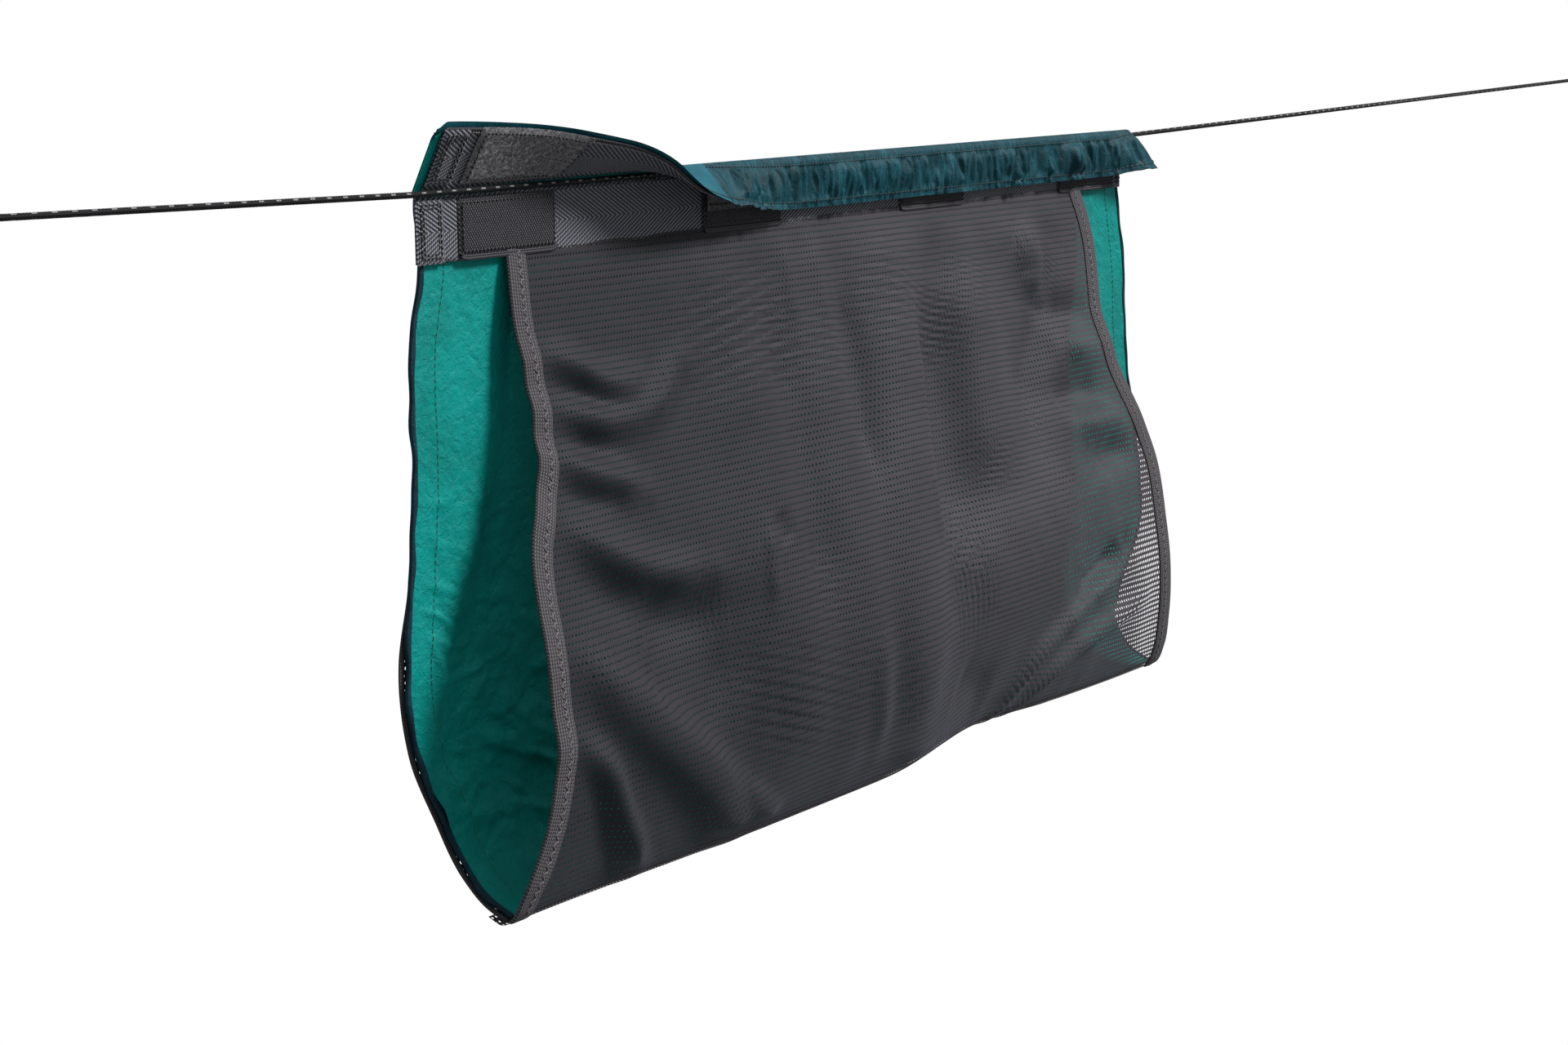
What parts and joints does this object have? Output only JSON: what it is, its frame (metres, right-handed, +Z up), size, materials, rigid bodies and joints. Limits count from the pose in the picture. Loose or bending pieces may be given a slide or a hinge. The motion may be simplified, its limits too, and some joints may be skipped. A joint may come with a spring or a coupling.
{
  "type": "ridgeline gear sling",
  "caption": "Hanging mesh-fronted gear sleeve for a hammock ridgeline, held on a taut cord by a fold-over flap with hook-and-loop patches.",
  "frame": {"origin": "on the ridgeline cord's axis, halfway along the sling", "axes": "+X along the cord, -Y towards the mesh front, +Z up"},
  "size_m": [1.6688, 0.0569, 0.3132],
  "materials": {
    "teal": "satin ripstop",
    "navy_teal": "satin",
    "green": "satin coated",
    "charcoal_mesh": "knit mesh",
    "binding": "knit tape",
    "webbing": "herringbone webbing",
    "hook_loop": "hook and loop",
    "cord": "braided, reflective tracer"
  },
  "bodies": {
    "ridgeline": {"ridgeline_cord": "cord", "knot_left": "cord", "knot_right": "cord", "loop_left": "cord", "loop_right": "cord"},
    "channel": {"ridge_fold": "navy_teal"},
    "sling": {"lining_panel": "green", "outer_panel": "teal", "side_hem_left": "navy_teal", "side_hem_right": "navy_teal", "lower_band": "webbing", "band_end_tab_left": "webbing", "band_end_tab_right": "webbing", "hook_patch_1": "hook_loop", "hook_patch_2": "hook_loop", "hook_patch_3": "hook_loop", "hook_patch_4": "hook_loop", "front_mesh": "charcoal_mesh", "front_binding_left": "binding", "front_binding_right": "binding", "rear_mesh_pocket": "charcoal_mesh", "rear_pocket_hem": "binding", "flap_twist_cloth": "teal", "flap_twist_band": "webbing"},
    "flap_left": {"flap_left_cloth": "teal", "flap_left_band": "webbing", "loop_patch_1": "hook_loop"},
    "flap_right": {"flap_right_cloth": "teal", "flap_right_band": "webbing", "loop_patch_2": "hook_loop", "loop_patch_3": "hook_loop", "loop_patch_4": "hook_loop"}
  },
  "joints": [
    {"name": "sling_slide", "type": "slide", "parent": "ridgeline", "child": "channel", "axis": [1, 0, 0], "range_m": [-0.05, 0.05]},
    {"name": "sling_swing", "type": "hinge", "parent": "channel", "child": "sling", "pos_m": [0, 0, 0], "axis": [1, 0, 0], "range_deg": [-60, 60]},
    {"name": "flap_left_hinge", "type": "hinge", "parent": "sling", "child": "flap_left", "pos_m": [0, 0, 0], "axis": [1, 0, 0], "range_deg": [-60, 150], "deforming": ["flap_twist_cloth", "flap_twist_band"]},
    {"name": "flap_right_hinge", "type": "hinge", "parent": "sling", "child": "flap_right", "pos_m": [0, 0, 0], "axis": [1, 0, 0], "range_deg": [-180, 0], "deforming": ["flap_twist_cloth", "flap_twist_band"]}
  ]
}
